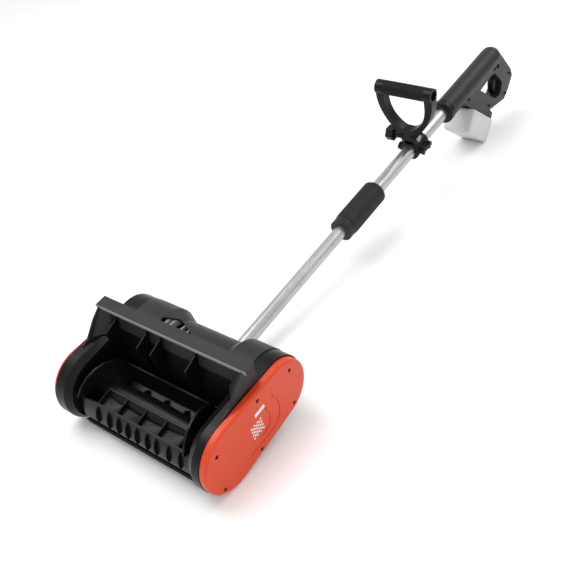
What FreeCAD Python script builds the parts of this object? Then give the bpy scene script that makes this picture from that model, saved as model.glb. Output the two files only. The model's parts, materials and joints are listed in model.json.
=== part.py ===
# Cordless single stage snow thrower with a telescopic pole, in millimetres.
#
# The sub-parts are drawn in a working frame: x runs across the machine (+x is the belt side),
# y runs back along the pole towards the rear handle, z stands square to the pole, and the
# origin is on the auger's axis at mid-width. At the end everything is tilted about x so that
# the machine rests on its side housings and on the battery's lower corner, as it would on a
# floor, and is moved so that the origin is under the middle of its bounding box.
import FreeCAD, Part
import math
import os

Vec = FreeCAD.Vector

# ---- scoop and side housings
WIDTH = 325.4            # over both side covers
VISOR_LENGTH = 311.0     # front hood, end to end
REAR_Y = 123.9           # rear circle of the side housings, where the motor sits
REAR_Z = 1.5
HOUSING_FRONT_R = 61.5   # side housing round the auger's axis
HOUSING_REAR_R = 56.0
HOUSING_THROAT_R = 54.0  # its inboard end, where it tapers in
COVER_FRONT_R = 60.5
COVER_REAR_R = 53.5
COVER_DEPTH = 12.5
COVER_EDGE_R = 4.5
WALL = 3.0               # moulded walls
HOUSING_OUT_X = WIDTH / 2 - COVER_DEPTH
HOUSING_STEP_X = 136.0
HOUSING_IN_X = 124.0
TROUGH_R = 57.0
TROUGH_HALF = HOUSING_IN_X - 0.2
LIP_ANGLE = 216.0        # trough's front lip, counted from +y towards +z
FLOOR_ANGLE = 300.0      # where the trough leaves its circle
RISE_ANGLE = 328.0
HOOD_SPLIT_Z = 62.0      # hood above, trough below
VISOR_TOP_Z = 101.0
VISOR_FRONT_Y = 75.5
VISOR_BACK_Y = 97.0
VISOR_RIM = 6.5
WALL_LOW = (57.2, -5.0)   # inner face of the back wall: its foot and its head
WALL_HEAD_Y = 84.5
FIN_X = [-118.0, -49.0, -19.5, 53.3]
FIN_TOP_Z = 85.2
FIN_TIP = (48.1, 75.2)
FIN_LOW_Z = -4.0
FIN_THICK = 2.6
CORNER_IN_X = 122.0      # hood's inner corners lean in over the housings
LEFT_HOUSING_OUT_X = 156.0   # the undriven side has a thinner, smaller cover
LEFT_COVER_FRONT_R = 60.0
LEFT_COVER_REAR_R = 49.5
COVER_SCREWS = [(-26.0, 33.5), (72.5, 43.6), (147.5, 28.5), (-36.0, -36.5), (49.0, -48.0), (137.0, -39.0)]
SCREW_R = 3.2
SCREW_SHANK_R = 1.6
SCREW_SINK = 2.2         # depth of the recess round each head
BOSS_R = 4.5

# ---- auger and drive
AUGER_R = 53.5
AUGER_HALF = 119.0
CORE_R_END = 15.0
CORE_R_MID = 21.5
CORE_HALF = 112.0
SHAFT_R = 6.0
SHAFT_FIT = 0.05         # radial running clearance
BEARING_R = 13.0
PADDLE_BACK = (-5.1, 21.5)
PADDLE_FRONT = (-37.1, 17.4)
PADDLE_RIBS = [-82.0, -39.5, 3.0, 45.5, 88.0]
DRIVEN_PULLEY_R = 32.0
DRIVE_PULLEY_R = 8.0
BELT_THICK = 3.0
BELT_GAP = 0.35
BELT_X0 = 138.0
BELT_X1 = 146.0
MOTOR_R = 26.0
MOTOR_X0 = 12.0
MOTOR_X1 = 104.0
ROTOR_R = 4.0

# ---- rear housing
DOME_R = 57.0
WAIST_R = 44.0
DOME_IN_RIGHT = 81.0
WAIST_RIGHT = 63.0
DOME_IN_LEFT = -70.0
WAIST_LEFT = -46.0
SHELL = 2.5

# ---- pole
POLE_Z = -59.5
LOWER_R = 12.5
UPPER_R = 14.0
UPPER_BORE_R = 12.8
LOWER_Y0 = 95.0
LOWER_Y1 = 700.0
UPPER_Y0 = 545.0
UPPER_Y1 = 962.0
LOCK_Y0 = 515.7
LOCK_Y1 = 532.7
SLEEVE_Y1 = 643.7
SLEEVE_R = 23.5
SOCKET_R = 17.0
SOCKET_Y0 = 92.0
SOCKET_Y1 = 172.0

# ---- front D-grip
CLAMP_Y0 = 778.0
CLAMP_Y1 = 820.0
CLAMP_R = 21.0
CLAMP_GAP = 0.4
PIVOT_Y = 788.0
PIVOT_Z = -31.0
HUB_R = 11.0
HUB_HALF = 9.0
EAR_HALF = 15.5
BOLT_R = 4.0
KNOB_X0 = -52.0
KNOB_X1 = -36.0
KNOB_R = 15.0
GRIP_Z = 77.7
GRIP_R = 13.5
GRIP_HALF = 62.0
GRIP_INNER = 45.0
BOW_DEPTH = 20.0

# ---- rear handle
HANDLE_Y0 = 916.0
COLLAR_Y1 = 932.0
BARREL_R = 23.5
BARREL_Y1 = 1146.0
HANDLE_HALF = 17.0
FOOT_ANGLE = 45.0        # battery foot, below the pole's direction
BATTERY_FRONT = (1008.0, -103.0)
BATTERY_LENGTH = 112.0
BATTERY_HEIGHT = 56.0
BATTERY_HALF = 33.0
BATTERY_EDGE_R = 7.0
SEAM = 0.1               # half the gap between the two handle shells
TRIGGER_OUTLINE = [(1151, -112), (1157, -115), (1170, -136), (1167, -153), (1156, -160), (1147, -156),
                   (1141, -143), (1142, -126)]
TRIGGER_PULL = (0.795, 0.606)
TRIGGER_TRAVEL = 7.0
TRIGGER_GAP = 0.4
TRIGGER_STEPS = 11
LOCK_OFF_Y = 1153.0
LOCK_OFF_Z = -84.0
LOCK_OFF_R = 4.5

FOOT_COS = math.cos(math.radians(FOOT_ANGLE))
FOOT_SIN = math.sin(math.radians(FOOT_ANGLE))


def cyl_x(radius, x0, x1, y, z):
    return Part.makeCylinder(radius, x1 - x0, Vec(x0, y, z), Vec(1, 0, 0))


def cyl_y(radius, y0, y1, x, z):
    return Part.makeCylinder(radius, y1 - y0, Vec(x, y0, z), Vec(0, 1, 0))


def cone_x(r0, r1, x0, x1, y, z):
    return Part.makeCone(r0, r1, x1 - x0, Vec(x0, y, z), Vec(1, 0, 0))


def box(x0, x1, y0, y1, z0, z1):
    return Part.makeBox(x1 - x0, y1 - y0, z1 - z0, Vec(x0, y0, z0))


def prism(points, x0, x1):
    corners = [Vec(x0, y, z) for y, z in points]
    face = Part.Face(Part.makePolygon(corners + corners[:1]))
    return face.extrude(Vec(x1 - x0, 0, 0))


def polar(radius, degrees):
    angle = math.radians(degrees)
    return radius * math.cos(angle), radius * math.sin(angle)


def facets(points, faces):
    corners = [Vec(*point) for point in points]
    sides = [Part.Face(Part.makePolygon([corners[i] for i in face + face[:1]])) for face in faces]
    return Part.Solid(Part.Shell(sides))


def grown_prism(points, margin, x0, x1):
    # a prism whose outline stands off from the points by a margin
    outline = Part.makePolygon([Vec(x0, y, z) for y, z in points + points[:1]])
    return Part.Face(outline.makeOffset2D(margin)).extrude(Vec(x1 - x0, 0, 0))


def mirrored(shape):
    return shape.mirror(Vec(0, 0, 0), Vec(1, 0, 0))


def fused(shapes):
    whole = shapes[0].multiFuse(shapes[1:])
    return whole.removeSplitter()


def group(shapes):
    return Part.makeCompound(shapes)


def oblong_wire(x, front_r, rear_r):
    # the outline round the auger's circle and the motor's circle, with straight tangents
    span = math.hypot(REAR_Y, REAR_Z)
    lean = math.degrees(math.atan2(REAR_Z, REAR_Y))
    wrap = math.degrees(math.acos((front_r - rear_r) / span))

    def front(angle):
        y, z = polar(front_r, angle)
        return Vec(x, y, z)

    def rear(angle):
        y, z = polar(rear_r, angle)
        return Vec(x, REAR_Y + y, REAR_Z + z)

    front_arc = Part.Arc(front(lean + wrap), front(lean + 180), front(lean - wrap))
    rear_arc = Part.Arc(rear(lean - wrap), rear(lean), rear(lean + wrap))
    low = Part.LineSegment(front(lean - wrap), rear(lean - wrap))
    high = Part.LineSegment(rear(lean + wrap), front(lean + wrap))
    return Part.Wire([front_arc.toShape(), low.toShape(), rear_arc.toShape(), high.toShape()])


def oblong(x0, x1, front_r, rear_r):
    return Part.Face(oblong_wire(x0, front_r, rear_r)).extrude(Vec(x1 - x0, 0, 0))


# ---------------------------------------------------------------- scoop

def wall_line():
    # inner face of the back wall, from the trough's rear up to the visor
    return WALL_LOW, (WALL_HEAD_Y, VISOR_TOP_Z - WALL)


def wall_at(z, offset):
    low, high = wall_line()
    share = (z - low[1]) / (high[1] - low[1])
    return low[0] + share * (high[0] - low[0]) + offset


def scoop_trough():
    low = wall_line()[0]

    def arc(radius, mid):
        lip = polar(radius, LIP_ANGLE)
        under = polar(radius, (LIP_ANGLE + FLOOR_ANGLE) / 2)
        end = polar(radius, FLOOR_ANGLE)
        floor = Part.Arc(at(lip), at(under), at(end))
        rise = Part.Arc(at(end), at(mid), at((low[0] + radius - TROUGH_R, low[1])))
        return floor.toShape(), rise.toShape()

    def at(point):
        return Vec(-TROUGH_HALF, point[0], point[1])

    inner = arc(TROUGH_R, polar(TROUGH_R + 0.1, RISE_ANGLE))
    outer = arc(TROUGH_R + WALL, polar(TROUGH_R + WALL + 0.2, RISE_ANGLE))
    top_in = (wall_at(HOOD_SPLIT_Z, 0), HOOD_SPLIT_Z)
    top_out = (wall_at(HOOD_SPLIT_Z, WALL), HOOD_SPLIT_Z)
    loop = [at((low[0], low[1])), at(top_in), at(top_out), at((low[0] + WALL, low[1]))]
    wall = Part.makePolygon(loop).Edges
    lip = Part.makePolygon([at(polar(TROUGH_R, LIP_ANGLE)), at(polar(TROUGH_R + WALL, LIP_ANGLE))]).Edges
    edges = list(inner) + wall + list(outer) + lip
    outline = Part.Wire(Part.__sortEdges__(edges))
    return Part.Face(outline).extrude(Vec(2 * TROUGH_HALF, 0, 0))


def scraper_bar():
    # replaceable strip screwed under the lip
    outer = cyl_x(TROUGH_R + WALL + 1.3, -118, 118, 0, 0)
    inner = cyl_x(TROUGH_R + WALL + 0.02, -119, 119, 0, 0)
    reach = 2 * TROUGH_R
    sector = [(0, 0), polar(reach, LIP_ANGLE), polar(reach, LIP_ANGLE + 14)]
    return outer.cut(inner).common(prism(sector, -118, 118))


def visor_hood():
    half = VISOR_LENGTH / 2
    cheek_out = HOUSING_OUT_X
    cheek_in = cheek_out - WALL
    top = box(-half, half, VISOR_FRONT_Y, VISOR_BACK_Y, VISOR_TOP_Z - WALL, VISOR_TOP_Z)
    rim = box(-half, half, VISOR_FRONT_Y, VISOR_FRONT_Y + WALL, VISOR_TOP_Z - VISOR_RIM, VISOR_TOP_Z)
    wall = prism([(wall_at(HOOD_SPLIT_Z, 0), HOOD_SPLIT_Z),
                  (wall_at(VISOR_TOP_Z, 0), VISOR_TOP_Z),
                  (wall_at(VISOR_TOP_Z, WALL), VISOR_TOP_Z),
                  (wall_at(HOOD_SPLIT_Z, WALL), HOOD_SPLIT_Z)], -cheek_in, cheek_in)
    side = [(VISOR_FRONT_Y, VISOR_TOP_Z - 1), (56, 88), (31, 66), (17, HOOD_SPLIT_Z),
            (VISOR_BACK_Y + 1, HOOD_SPLIT_Z), (VISOR_BACK_Y + 1, VISOR_TOP_Z - 1)]
    right = prism(side, cheek_in, cheek_out)
    left = prism(side, -cheek_out, -cheek_in)
    return fused([top, rim, wall, right, left, hood_corner(1), hood_corner(-1)])


def hood_corner(side):
    # slanted filling that leads the snow from the cheek over the end housing
    cheek = side * (HOUSING_OUT_X - WALL)
    lean = side * CORNER_IN_X
    head_z = VISOR_TOP_Z - WALL
    low_y, low_z = wall_at(HOOD_SPLIT_Z, 0), HOOD_SPLIT_Z
    points = [(cheek, 40, low_z), (lean, 64, low_z), (lean, low_y, low_z), (cheek, low_y, low_z),
              (cheek, VISOR_FRONT_Y, head_z), (side * 138, WALL_HEAD_Y, head_z),
              (cheek, WALL_HEAD_Y, head_z)]
    faces = [(0, 1, 2, 3), (0, 1, 5), (0, 5, 4), (1, 2, 5), (2, 3, 6, 5), (3, 0, 4, 6), (4, 5, 6)]
    return facets(points, faces)


def deflector_fins():
    # four upright gussets on the back wall that steer the snow forwards
    outline = [(wall_at(FIN_TOP_Z, -0.05), FIN_TOP_Z), FIN_TIP, (wall_at(FIN_LOW_Z, -0.05), FIN_LOW_Z)]
    return group([prism(outline, x - FIN_THICK / 2, x + FIN_THICK / 2) for x in FIN_X])


# ---------------------------------------------------------------- side housings

def housing_solid(out_x):
    flange = oblong(HOUSING_STEP_X, out_x, HOUSING_FRONT_R, HOUSING_REAR_R)
    taper = Part.makeLoft([oblong_wire(HOUSING_IN_X, HOUSING_THROAT_R, HOUSING_REAR_R - 0.5),
                           oblong_wire(HOUSING_STEP_X, HOUSING_FRONT_R, HOUSING_REAR_R)], True, True)
    return flange.fuse(taper)


def side_housing(out_x):
    # open towards the cover, with a boss for each cover screw
    inner = oblong(HOUSING_IN_X + 5, out_x + 1, HOUSING_THROAT_R - WALL, HOUSING_REAR_R - WALL - 1)
    outer = oblong(HOUSING_STEP_X, out_x + 1, HOUSING_FRONT_R - WALL, HOUSING_REAR_R - WALL)
    body = housing_solid(out_x).cut(inner).cut(outer)
    bosses = [cyl_x(BOSS_R, HOUSING_IN_X + 4, out_x, y, z) for y, z in COVER_SCREWS]
    body = fused([body] + bosses)
    for y, z in COVER_SCREWS:
        body = body.cut(cyl_x(SCREW_SHANK_R + 0.05, HOUSING_OUT_X - 10, out_x + 1, y, z))
    body = body.cut(cyl_x(BEARING_R, HOUSING_IN_X - 1, HOUSING_IN_X + 6, 0, 0))
    return body.cut(cyl_x(ROTOR_R + 3, HOUSING_IN_X - 1, HOUSING_IN_X + 6, REAR_Y, REAR_Z))


def side_cover(x0, front_r, rear_r):
    # shallow tray with a rounded edge
    shell = oblong(x0, WIDTH / 2, front_r, rear_r)
    rim = [edge for edge in shell.Edges if edge.BoundBox.XMin > WIDTH / 2 - 0.01]
    shell = shell.makeFillet(COVER_EDGE_R, rim)
    hollow = oblong(x0 - 1, WIDTH / 2 - WALL, front_r - 5, rear_r - 5)
    shell = shell.cut(hollow)
    bosses = [cyl_x(BOSS_R, x0, WIDTH / 2 - WALL + 0.5, y, z) for y, z in COVER_SCREWS]
    shell = fused([shell] + bosses)
    for y, z in COVER_SCREWS:
        shell = shell.cut(cyl_x(SCREW_SHANK_R + 0.05, x0 - 1, WIDTH / 2 + 1, y, z))
        shell = shell.cut(cyl_x(SCREW_R + 0.3, WIDTH / 2 - SCREW_SINK, WIDTH / 2 + 1, y, z))
    return shell


def cover_screws():
    screws = []
    for y, z in COVER_SCREWS:
        head = cyl_x(SCREW_R, WIDTH / 2 - SCREW_SINK + 0.05, WIDTH / 2 - 0.4, y, z)
        shank = cyl_x(SCREW_SHANK_R, HOUSING_OUT_X - 9, WIDTH / 2 - SCREW_SINK + 0.1, y, z)
        screw = head.fuse(shank)
        screws += [screw, mirrored(screw)]
    return group(screws)


def bearing(y, z, bore, x0, x1):
    ring = cyl_x(BEARING_R - 0.05, x0, x1, y, z)
    return ring.cut(cyl_x(bore + SHAFT_FIT, x0 - 1, x1 + 1, y, z))


def auger_bearings():
    ring = bearing(0, 0, SHAFT_R, HOUSING_IN_X + 0.2, HOUSING_IN_X + 7)
    return group([ring, mirrored(ring)])


def drive_belt():
    inner = BELT_GAP
    driven_r = DRIVEN_PULLEY_R + inner + BELT_THICK
    drive_r = DRIVE_PULLEY_R + inner + BELT_THICK
    outer = oblong(BELT_X0, BELT_X1, driven_r, drive_r)
    return outer.cut(oblong(BELT_X0 - 1, BELT_X1 + 1, DRIVEN_PULLEY_R + inner, DRIVE_PULLEY_R + inner))


# ---------------------------------------------------------------- auger

def auger_core():
    # hollow drum, slightly crowned in the middle
    profile = [Vec(-CORE_HALF, 0, CORE_R_END), Vec(0, 0, CORE_R_MID), Vec(CORE_HALF, 0, CORE_R_END)]
    crown = Part.Arc(profile[0], profile[1], profile[2]).toShape()
    right_end = Vec(CORE_HALF, 0, SHAFT_R)
    left_end = Vec(-CORE_HALF, 0, SHAFT_R)
    base = Part.makePolygon([profile[2], right_end, left_end, profile[0]])
    face = Part.Face(Part.Wire(Part.__sortEdges__([crown] + base.Edges)))
    return face.revolve(Vec(0, 0, 0), Vec(1, 0, 0), 360)


def paddle_solid():
    # open ladder of a front bar, a back bar and cross ribs, with a curved web down to the core
    by, bz = PADDLE_BACK
    fy, fz = PADDLE_FRONT
    half = AUGER_HALF - 2
    web_out = Part.Arc(Vec(-half, fy, fz), Vec(-half, -46, -6), Vec(-half, -48, -20)).toShape()
    web_tip = Part.makePolygon([Vec(-half, -48, -20), Vec(-half, -45, -20)]).Edges[0]
    web_in = Part.Arc(Vec(-half, -45, -20), Vec(-half, -43, -6), Vec(-half, fy + 3.5, fz - 4)).toShape()
    web_top = Part.makePolygon([Vec(-half, fy + 3.5, fz - 4), Vec(-half, fy, fz)]).Edges[0]
    web = Part.Face(Part.Wire(Part.__sortEdges__([web_out, web_tip, web_in, web_top])))
    web = web.extrude(Vec(2 * half, 0, 0))
    front = prism([(fy, fz), (fy + 3, fz + 0.4), (fy + 4, fz - 9), (fy + 1, fz - 9)], -half, half)
    back = prism([(by, bz), (by - 3, bz - 0.4), (by - 2.6, bz - 8), (by, bz - 8)], PADDLE_RIBS[0], 97)
    side = [(fy + 1, fz), (by - 1, bz), (by + 1, 8), (fy + 12, -4), (fy + 2, fz - 8)]
    ribs = [prism(side, x - 1.3, x + 1.3)
            for x in PADDLE_RIBS]
    floor = prism([(fy + 3, fz - 8), (by, 13), (by, 10), (fy + 3, fz - 11)], PADDLE_RIBS[0], PADDLE_RIBS[-1])
    return fused([web, front, back, floor] + ribs)


def paddle(turn, flights):
    # whatever the drum or an end flight fills is cut away, and the largest piece is the paddle
    blade = paddle_solid()
    blade.rotate(Vec(0, 0, 0), Vec(1, 0, 0), turn)
    blade = blade.cut(auger_core())
    for flight in flights:
        blade = blade.cut(flight)
    return max(blade.Solids, key=lambda piece: piece.Volume)


def end_flight(side):
    # helical end plate: ruled steps between radial stations
    stations = 11
    sweep = 190.0
    start = 150.0
    sections = []
    for index in range(stations):
        share = index / (stations - 1)
        angle = math.radians(start - sweep * share)
        x = side * (AUGER_HALF - 4 - 34 * share)
        lean = side * -3.5
        sin = math.sin(angle)
        cos = math.cos(angle)
        points = [Vec(x, CORE_R_END * cos, CORE_R_END * sin), Vec(x, AUGER_R * cos, AUGER_R * sin),
                  Vec(x + lean, AUGER_R * cos, AUGER_R * sin),
                  Vec(x + lean, CORE_R_END * cos, CORE_R_END * sin)]
        sections.append(Part.makePolygon(points + points[:1]))
    flight = Part.makeLoft(sections, True, True)
    return flight.cut(cyl_x(CORE_R_END + 0.2, -140, 140, 0, 0)).cut(auger_core())


def auger_shaft():
    return cyl_x(SHAFT_R, -HOUSING_IN_X - 8, BELT_X1 + 3, 0, 0)


def flanged_pulley(radius, bore, y, z):
    grooved = cyl_x(radius, BELT_X0 - 0.5, BELT_X1 + 0.5, y, z)
    inner_flange = cyl_x(radius + 2.5, BELT_X0 - 2, BELT_X0 - 0.5, y, z)
    outer_flange = cyl_x(radius + 2.5, BELT_X1 + 0.5, BELT_X1 + 2, y, z)
    wheel = fused([grooved, inner_flange, outer_flange])
    return wheel.cut(cyl_x(bore, BELT_X0 - 3, BELT_X1 + 4, y, z))


# ---------------------------------------------------------------- motor and rear housing

def motor_can():
    can = cyl_x(MOTOR_R, MOTOR_X0, MOTOR_X1, REAR_Y, REAR_Z)
    hollow = cyl_x(MOTOR_R - 2, MOTOR_X0 + 2, MOTOR_X1 - 2, REAR_Y, REAR_Z)
    return can.cut(hollow).cut(cyl_x(ROTOR_R + 0.6, MOTOR_X0 - 1, MOTOR_X1 + 1, REAR_Y, REAR_Z))


def motor_rotor():
    shaft = cyl_x(ROTOR_R, MOTOR_X0 - 4, BELT_X1 + 4, REAR_Y, REAR_Z)
    armature = cyl_x(MOTOR_R - 7, MOTOR_X0 + 14, MOTOR_X1 - 16, REAR_Y, REAR_Z)
    return shaft.fuse(armature)


def motor_plate():
    # steel bulkhead that carries the motor and fills the right dome
    plate = box(MOTOR_X1 + 0.1, MOTOR_X1 + 2.1, 40, 200, -90, 90).common(rear_body(SHELL + 0.05))
    return plate.cut(cyl_x(ROTOR_R + 2, MOTOR_X1, MOTOR_X1 + 4, REAR_Y, REAR_Z))


def motor_screws():
    places = [polar(17, angle) for angle in (45, 135, 225, 315)]
    heads = [cyl_x(3.2, MOTOR_X1 + 2.15, MOTOR_X1 + 4.7, REAR_Y + y, REAR_Z + z) for y, z in places]
    return group(heads)


def rear_body(inset):
    # two domes on a narrower waist, with a deck that runs forward to the scoop's back wall
    y, z = REAR_Y, REAR_Z
    dome = DOME_R - inset
    waist = WAIST_R - inset
    end = HOUSING_IN_X - 0.1 if inset == 0 else HOUSING_IN_X + 1
    parts = [cyl_x(waist, -end, end, y, z),
             cyl_x(dome, DOME_IN_RIGHT + inset, end, y, z),
             cone_x(waist, dome, WAIST_RIGHT + inset, DOME_IN_RIGHT + inset, y, z),
             cyl_x(dome, -end, DOME_IN_LEFT - inset, y, z),
             cone_x(dome, waist, DOME_IN_LEFT - inset, WAIST_LEFT - inset, y, z),
             box(-end, end, 50, y, -30 + inset, 43 - inset)]
    solid = fused(parts)
    front = wall_line()
    offset = WALL + 0.4 + inset
    edge_y = front[0][0] + offset
    ahead = prism([(edge_y - 40, -70), (edge_y, -70), (edge_y, front[0][1]),
                   (wall_at(90, offset), 90), (wall_at(90, offset) - 90, 90)], -140, 140)
    return solid.cut(ahead)


def vent_cut():
    # opening in the deck beside the left dome
    corners = [Vec(-70, 104, 30), Vec(-70, 127, 30), Vec(-50, 145, 30), Vec(-12, 127, 30), Vec(-12, 104, 30)]
    face = Part.Face(Part.makePolygon(corners + corners[:1]))
    return face.extrude(Vec(0, 0, 40))


def rear_shell():
    shell = rear_body(0).cut(rear_body(SHELL))
    return shell.cut(vent_cut())


def rear_housing_upper(shell):
    return shell.common(box(-150, 150, 40, 200, REAR_Z + 0.05, 90))


def rear_housing_lower(shell):
    return shell.common(box(-150, 150, 40, 200, -90, REAR_Z - 0.05))


def vent_grille():
    # bars that follow the dome and the waist, and a tray behind them
    band = rear_body(SHELL + 0.05).cut(rear_body(SHELL + 7))
    bars = [band.common(box(x - 1.6, x + 1.6, 99, 148, 24, 90)) for x in (-64, -57, -38, -24)]
    tray = box(-70, -14, 99, 138, 23.5, 25.5)
    return fused(bars + [tray])


def rear_housing_screws():
    places = [(x, -24) for x in (-132, -88, 92, 136)]
    screws = []
    for x, z in places:
        y = REAR_Y + math.sqrt(DOME_R ** 2 - (abs(z - REAR_Z) - SCREW_R) ** 2) + 0.1
        screws.append(cyl_y(SCREW_R, y, y + 2.2, x, z))
    return group(screws)


def pole_socket():
    # saddle under the rear housing that takes the pole
    barrel = cyl_y(SOCKET_R, SOCKET_Y0, SOCKET_Y1, 0, POLE_Z)
    saddle = box(-24, 24, SOCKET_Y0 + 8, SOCKET_Y1 - 12, POLE_Z, -30)
    body = fused([barrel, saddle]).cut(cyl_x(WAIST_R + 0.05, -40, 40, REAR_Y, REAR_Z))
    return body.cut(cyl_y(LOWER_R + 0.05, SOCKET_Y0 + 3, SOCKET_Y1 + 1, 0, POLE_Z))


def socket_screws():
    screws = [cyl_x(3.4, side * 24.05 if side > 0 else -26.4, 26.4 if side > 0 else -24.05, y, POLE_Z + 8)
              for side in (-1, 1) for y in (SOCKET_Y0 + 20, SOCKET_Y0 + 48)]
    return group(screws)


def control_board():
    board = box(-55, -5, 60, 190, REAR_Z - 14, REAR_Z - 12)
    return board.common(rear_body(SHELL + 0.05))


# ---------------------------------------------------------------- pole

def tube(outer, inner, y0, y1):
    return cyl_y(outer, y0, y1, 0, POLE_Z).cut(cyl_y(inner, y0 - 1, y1 + 1, 0, POLE_Z))


def coupling_sleeve():
    # twist-lock housing, fixed on the upper tube and rounded at its rear end
    body = cyl_y(SLEEVE_R, LOCK_Y1 + 0.4, SLEEVE_Y1, 0, POLE_Z)
    rear = [edge for edge in body.Edges if edge.BoundBox.YMin > SLEEVE_Y1 - 0.01]
    body = body.makeFillet(8.5, rear)
    body = body.cut(cyl_y(UPPER_R + 0.02, UPPER_Y0 - 0.5, SLEEVE_Y1 + 1, 0, POLE_Z))
    return body.cut(cyl_y(LOWER_R + 0.4, LOCK_Y1, UPPER_Y0, 0, POLE_Z))


def lock_ring():
    ring = tube(SLEEVE_R - 0.6, LOWER_R + 0.4, LOCK_Y0, LOCK_Y1)
    for index in range(16):
        y, z = polar(SLEEVE_R + 0.4, index * 22.5)
        ring = ring.cut(cyl_y(1.6, LOCK_Y0 + 3, LOCK_Y1 + 1, y, POLE_Z + z))
    return ring


# ---------------------------------------------------------------- D-grip and clamp

def clamp_upper():
    sleeve = tube(CLAMP_R, UPPER_R + CLAMP_GAP, CLAMP_Y0, CLAMP_Y1)
    flange = box(-30, 30, CLAMP_Y0 + 3, CLAMP_Y1 - 3, POLE_Z + 0.3, POLE_Z + 4)
    post = box(-EAR_HALF, EAR_HALF, CLAMP_Y0, PIVOT_Y + HUB_R, POLE_Z + 12, PIVOT_Z)
    eye = cyl_x(HUB_R, -EAR_HALF, EAR_HALF, PIVOT_Y, PIVOT_Z)
    body = fused([sleeve, flange, post, eye])
    body = body.common(box(-40, 40, 700, 900, POLE_Z + 0.3, 0))
    body = body.cut(cyl_y(UPPER_R + CLAMP_GAP, 760, 840, 0, POLE_Z))
    slot = box(-HUB_HALF - 0.4, HUB_HALF + 0.4, CLAMP_Y0 - 8, PIVOT_Y + 30, PIVOT_Z - HUB_R - 1.5, 10)
    return body.cut(slot).cut(cyl_x(BOLT_R + SHAFT_FIT, -40, 40, PIVOT_Y, PIVOT_Z))


def clamp_lower():
    sleeve = tube(CLAMP_R, UPPER_R + CLAMP_GAP, CLAMP_Y0, CLAMP_Y1)
    flange = box(-30, 30, CLAMP_Y0 + 3, CLAMP_Y1 - 3, POLE_Z - 4, POLE_Z - 0.3)
    body = fused([sleeve, flange]).common(box(-40, 40, 700, 900, -120, POLE_Z - 0.3))
    return body.cut(cyl_y(UPPER_R + CLAMP_GAP, 760, 840, 0, POLE_Z))


def clamp_screws():
    screws = []
    for x in (-25.5, 25.5):
        for y in (CLAMP_Y0 + 10, CLAMP_Y1 - 10):
            screws.append(Part.makeCylinder(3.4, 4.2, Vec(x, y, POLE_Z - 8.3)))
            screws.append(Part.makeCylinder(3.4, 2.6, Vec(x, y, POLE_Z + 4.1)))
    return group(screws)


def grip_bow():
    # flat bow from the grip's ends down to the hub
    def half(points, sign):
        return [Vec(sign * x, 0, z) for x, z in points]

    outer = [(14, -24), (26, -14), (39, 1), (51, 21), (59, 42), (62, 62), (62, GRIP_Z)]
    inner = [(10, -8), (24, 2), (36, 17), (43, 35), (45, 52), (45, GRIP_Z)]
    spline_out = Part.BSplineCurve()
    spline_out.interpolate(half(outer, -1)[::-1] + half(outer, 1))
    spline_in = Part.BSplineCurve()
    spline_in.interpolate(half(inner, 1)[::-1] + half(inner, -1))
    right = Part.makePolygon([Vec(62, 0, GRIP_Z), Vec(45, 0, GRIP_Z)]).Edges
    left = Part.makePolygon([Vec(-45, 0, GRIP_Z), Vec(-62, 0, GRIP_Z)]).Edges
    edges = [spline_out.toShape()] + right + [spline_in.toShape()] + left
    outline = Part.Wire(Part.__sortEdges__(edges))
    bow = Part.Face(outline).extrude(Vec(0, BOW_DEPTH, 0))
    bow.translate(Vec(0, PIVOT_Y - BOW_DEPTH / 2, 0))
    neck = box(-HUB_HALF, HUB_HALF, PIVOT_Y - BOW_DEPTH / 2, PIVOT_Y + BOW_DEPTH / 2, PIVOT_Z, -9)
    hub = cyl_x(HUB_R - 0.5, -HUB_HALF, HUB_HALF, PIVOT_Y, PIVOT_Z)
    ends = [cyl_x(GRIP_R + 0.6, GRIP_INNER, GRIP_HALF, PIVOT_Y, GRIP_Z),
            cyl_x(GRIP_R + 0.6, -GRIP_HALF, -GRIP_INNER, PIVOT_Y, GRIP_Z)]
    clear = box(-EAR_HALF - 1, EAR_HALF + 1, PIVOT_Y - 20, PIVOT_Y + 20, -60, PIVOT_Z + HUB_R + 1)
    bow = bow.cut(clear)
    whole = fused([bow, neck, hub] + ends)
    for x0, x1 in ((GRIP_HALF - 7, GRIP_HALF + 1), (-GRIP_HALF - 1, -GRIP_HALF + 7)):
        whole = whole.cut(cyl_x(GRIP_R - 3.5, x0, x1, PIVOT_Y, GRIP_Z))
    return whole.cut(cyl_x(BOLT_R + SHAFT_FIT, -30, 30, PIVOT_Y, PIVOT_Z))


def grip_sleeve():
    return cyl_x(GRIP_R, -GRIP_INNER + 0.05, GRIP_INNER - 0.05, PIVOT_Y, GRIP_Z)


def star_knob():
    knob = cyl_x(KNOB_R - 1.5, KNOB_X0, KNOB_X1, PIVOT_Y, PIVOT_Z)
    lobes = []
    for index in range(6):
        y, z = polar(KNOB_R - 5, 60 * index)
        lobes.append(cyl_x(5.6, KNOB_X0, KNOB_X1, PIVOT_Y + y, PIVOT_Z + z))
    stem = cyl_x(7.5, KNOB_X1, -EAR_HALF - 0.6, PIVOT_Y, PIVOT_Z)
    body = fused([knob, stem] + lobes)
    return body.cut(cyl_x(BOLT_R, KNOB_X0 + 5, 0, PIVOT_Y, PIVOT_Z))


def pivot_bolt():
    shank = cyl_x(BOLT_R, KNOB_X0 + 5, EAR_HALF + 0.4, PIVOT_Y, PIVOT_Z)
    head = cyl_x(7, EAR_HALF + 0.4, EAR_HALF + 4.5, PIVOT_Y, PIVOT_Z)
    return shank.fuse(head)


# ---------------------------------------------------------------- rear handle

def along_foot(distance, drop):
    # a point measured along the battery foot from the battery's front corner, and square to it
    y = BATTERY_FRONT[0] + distance * FOOT_COS - drop * FOOT_SIN
    z = BATTERY_FRONT[1] - distance * FOOT_SIN - drop * FOOT_COS
    return y, z


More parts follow.
